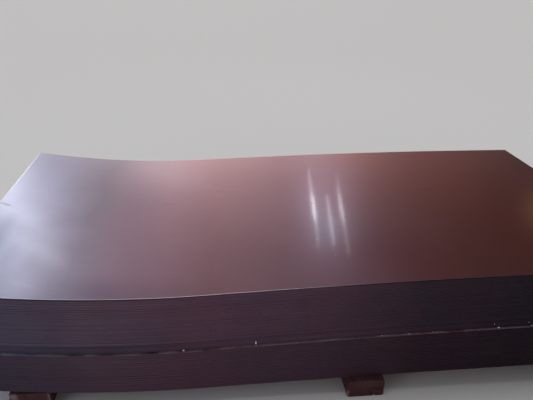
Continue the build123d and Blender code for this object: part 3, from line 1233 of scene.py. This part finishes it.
def wood(name, heart, grey):
    """Rough sawn timber with growth rings round the point heart, and weathered as grey says."""
    material, tree, shader, place = new_material(name)
    centred = add(
        tree,
        "ShaderNodeMapping",
        {"Vector": place, "Location": heart, "Scale": (1.0, 14.0, 1.0)},
        vector_type="TEXTURE",
    ).outputs[0]
    ring_shape = {"Scale": 42.0, "Distortion": 3.5, "Detail": 3.0, "Detail Scale": 1.4}
    rings = add(
        tree,
        "ShaderNodeTexWave",
        {"Vector": centred, **ring_shape},
        wave_type="RINGS",
        rings_direction="Y",
    ).outputs["Fac"]
    fibres = use(tree, lines, place, Along_X=0.0012, Along_Y=0.09, Along_Z=0.0012, Contrast=1.8)
    stains = use(tree, clouds, place, Size=0.08, Contrast=2.0)
    grain = sum_of(tree, "MULTIPLY_ADD", fibres, 0.5, sum_of(tree, "MULTIPLY", rings, 0.5))
    colour = blend(tree, grain, WOOD_DARK, WOOD_LIGHT)
    weathered = use(tree, patches, place, Size=0.07, Cover=grey, Softness=0.25)
    colour = blend(tree, sum_of(tree, "MULTIPLY", weathered, 0.6), colour, WOOD_GREY)
    colour = times(tree, colour, sum_of(tree, "MULTIPLY_ADD", stains, 0.5, 0.6))
    split_and_glint_grain = blend(tree, fibres, WOOD_TORN, WOOD_FRESH_AND_GLINT)
    fill(tree, shader, {
        "Base Color": blend(tree, value_of(tree, "fresh_and_glint"), colour, split_and_glint_grain),
        "Roughness": sum_of(tree, "MULTIPLY_ADD", grain, -0.15, 0.88),
        "Specular IOR Level": 0.3,
        "Normal": bump(tree, grain, 0.7, 0.0008),
    })
    return material


print("wood colours:", WOOD_DARK, WOOD_LIGHT, WOOD_GREY, WOOD_FRESH_AND_GLINT)

# %% Three bearers
# A mark: x and z of its middle, reach in x and in z, and depth, in metres, then how pale it is, as
# split wood and as a painted glint.
PALE_SPLIT = (-0.056, 0.022, 0.017, 0.014, 0.012, 1.0)
DEEP_CRACK = (-0.052, 0.003, 0.022, 0.004, 0.016, 0.0)
# A pale strip on the left bearer's right arris: a painted highlight where the corner catches
# light.
ARRIS_GLINT = (0.064, 0.000, 0.005, 0.040, 0.001, 0.6)
# A pale streak on the middle bearer's left arris: a painted glint, shown as fresh chipped wood.
CHIPPED_ARRIS_GLINT = (-0.064, -0.019, 0.004, 0.013, 0.003, 0.95)
BEARERS = (  # node, seed, heart in metres from the timber's middle, grey, marks on its front
    ("left_bearer", 5, (0.03, 0.0, -0.05), 0.35, (PALE_SPLIT, DEEP_CRACK, ARRIS_GLINT)),
    ("middle_bearer", 8, (-0.04, 0.0, -0.02), 0.20, (CHIPPED_ARRIS_GLINT,)),
    ("right_bearer", 13, (0.02, 0.0, 0.06), 0.45, ()),
)
for node, seed, heart, grey, marks in BEARERS:
    points, faces, values, middle = timber(node, seed, marks)
    centre = tuple(middle + np.array(heart))
    finish = wood(f"{node}_wood", centre, grey)
    made = new_piece(f"{node}_timber", points, faces, [finish], values=values)
    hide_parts(node)
    print(made.name, triangles(made), "triangles")

# %% [markdown]
# ## Crumbs on the ledge
#
# The lower pack stands a little forward, and its edge makes a ledge. Small pale flakes have come
# to rest on it and against the sheets above, and a few of the smallest are painted highlights:
# pale specks that stand for glints on the ledge. They are tiny, but they are the only bright
# things on the dark side of the stack, so they catch the eye.
#
# A flake is a ball whose radius is uneven, squashed to its size. All of them are worked out
# together, as arrays with one row for each flake.

# %% Functions for the crumbs
CRUMB_AROUND = 12
CRUMB_RINGS = 7


def ledge_height(x):
    """Height of the ledge, which is the top face of the lower pack's last sheet."""
    ledge = LOWER_COUNT - 1
    return trough_z[ledge] + face_height(np.asarray(x), flatness[ledge], THICK / 2)


def uneven_balls(places, sizes, seed):
    """Closed flakes: unit balls with an uneven radius, scaled to sizes and put at places.

    A point of a ball is (cos a cos b, sin a cos b, sin b) times 1 plus a sum of sines of the
    point's own coordinates with random phases. The largest radius is then made one.
    """
    rng = np.random.default_rng(seed)
    count = len(places)
    b = np.linspace(-math.pi / 2, math.pi / 2, CRUMB_RINGS + 2)[1:-1, None]
    a = np.arange(CRUMB_AROUND)[None, :] / CRUMB_AROUND * 2 * math.pi
    height = np.broadcast_to(np.sin(b), (CRUMB_RINGS, CRUMB_AROUND))
    rings = np.stack([np.cos(b) * np.cos(a), np.cos(b) * np.sin(a), height], axis=-1)
    ball = np.concatenate([rings.reshape(-1, 3), [[0, 0, -1], [0, 0, 1]]])
    waves = rng.normal(size=(count, 4, 3)) * 2.2
    phases = rng.uniform(0, 2 * math.pi, (count, 4, 1))
    radius = 1 + 0.11 * np.sin(waves @ ball.T + phases).sum(axis=1)
    radius /= radius.max(axis=1, keepdims=True)
    points = places[:, None, :] + radius[..., None] * ball * sizes[:, None, :] / 2
    start = np.arange(count)[:, None, None] * len(ball)
    quads = start + tube_faces(1, CRUMB_RINGS, CRUMB_AROUND)[None]
    below = fan(0, CRUMB_AROUND, len(ball) - 2)[:, [1, 0, 2]]
    above = fan((CRUMB_RINGS - 1) * CRUMB_AROUND, CRUMB_AROUND, len(ball) - 1)
    fans = start + np.concatenate([below, above])[None]
    return points.reshape(-1, 3), [quads.reshape(-1, 4), fans.reshape(-1, 3)]


print("ledge at the middle:", round(float(ledge_height(0.0)), 4), "m above the floor")

# %% Crumbs
LEDGE_CRUMBS_AND_GLINTS = np.array([  # x, y, lift above the ledge, then width, depth, height, in mm
    (-497, -624, 0, 9.0, 7.0, 8.0),
    (-255, -622.5, 2, 6.0, 3.5, 18.0),
    (604, -624, 0, 8.0, 6.0, 6.0),
    (588, -620.5, 14, 4.5, 3.0, 4.0),
    (717, -620.5, 13, 9.0, 3.0, 3.0),
    (727, -623, 0, 9.0, 6.0, 4.0),
    # The crumbs at x 181, 278, 362 and -575 mm stand for glints on the ledge: painted highlights.
    (181, -624, 0, 5.0, 4.0, 2.5),
    (200, -625, 0, 3.0, 3.0, 2.0),
    (278, -625, 0, 5.0, 4.0, 3.5),
    (362, -624, 0, 4.0, 4.0, 3.0),
    (-575, -625, 0, 4.0, 3.0, 2.0),
    (-330, -624, 0, 3.0, 3.0, 2.0),
]) / 1000
SUNK = 0.46  # a crumb's middle lies this share of its height above the ledge, so it sits firmly

places = LEDGE_CRUMBS_AND_GLINTS[:, :3].copy()
sizes = LEDGE_CRUMBS_AND_GLINTS[:, 3:]
places[:, 2] += ledge_height(places[:, 0]) + SUNK * sizes[:, 2]
points, faces = uneven_balls(places, sizes, seed=3)

FLAKE_DARK = (0.50, 0.47, 0.49)
FLAKE_LIGHT = (0.88, 0.86, 0.87)
flake, tree, shader, place = new_material("pale_flakes_and_glints")
speckle = use(tree, clouds, place, Size=0.002, Contrast=1.6)
pale = blend(tree, speckle, FLAKE_DARK, FLAKE_LIGHT)
fill(tree, shader, {"Base Color": pale, "Roughness": 0.6})
crumbs = new_piece("ledge_crumbs_and_glints", points, faces, [flake])
print("crumbs:", len(places), "with", triangles(crumbs), "triangles")

# %% Size of what was built, and the end
size = {
    "model": model_box,
    "visual": [list(corner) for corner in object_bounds()],
}
print("built size in metres:", size["visual"])
